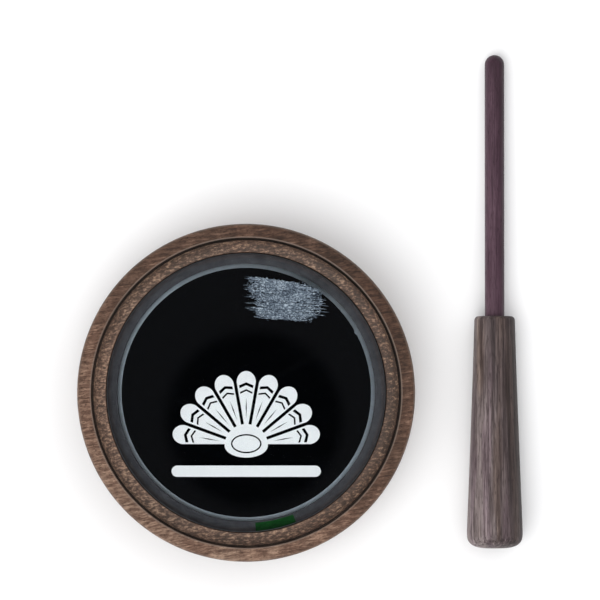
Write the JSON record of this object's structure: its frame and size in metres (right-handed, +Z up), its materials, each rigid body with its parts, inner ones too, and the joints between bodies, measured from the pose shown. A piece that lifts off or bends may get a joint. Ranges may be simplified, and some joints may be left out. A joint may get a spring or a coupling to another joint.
{
  "type": "pot turkey call",
  "caption": "Round wooden friction call: glass playing surface over a printed soundboard, sound holes in the base, and a loose wooden striker with a turned handle lying beside it.",
  "frame": {"origin": "middle of the footprint of the pot and the striker together, on the surface that both rest on", "axes": "+Z up out of the playing surface; +Y along the striker from its butt to its tip; +X from the pot to the striker"},
  "size_m": [0.1344, 0.153, 0.024],
  "materials": {
    "pot_walnut": "turned walnut, satin oil",
    "pedestal_maple": "plain turned maple",
    "clear_glue": "cured clear glue",
    "black_glass": "black glass with a ground bevel",
    "white_print": "screen-printed white ink",
    "grey_silicone": "smoke-grey silicone",
    "green_paper": "thin green label",
    "clear_glass": "clear plate glass, polished, one patch roughened for the striker",
    "shaft_purpleheart": "purpleheart dowel, oiled",
    "handle_walnut": "turned walnut, satin oil"
  },
  "bodies": {
    "pot": {"pot_body": "pot_walnut", "pedestal_ring": "pedestal_maple", "soundboard_glue": "clear_glue", "soundboard": "black_glass", "emblem_fan": "white_print", "emblem_bar": "white_print", "surface_glue": "grey_silicone", "green_marker": "green_paper", "playing_surface": "clear_glass"},
    "striker": {"striker_shaft": "shaft_purpleheart", "striker_handle": "handle_walnut"}
  },
  "joints": [
    {"name": "striker_lift", "type": "slide", "parent": "pot", "child": "striker", "axis": [0, 0, 1], "range_m": [0, 0.15]}
  ]
}
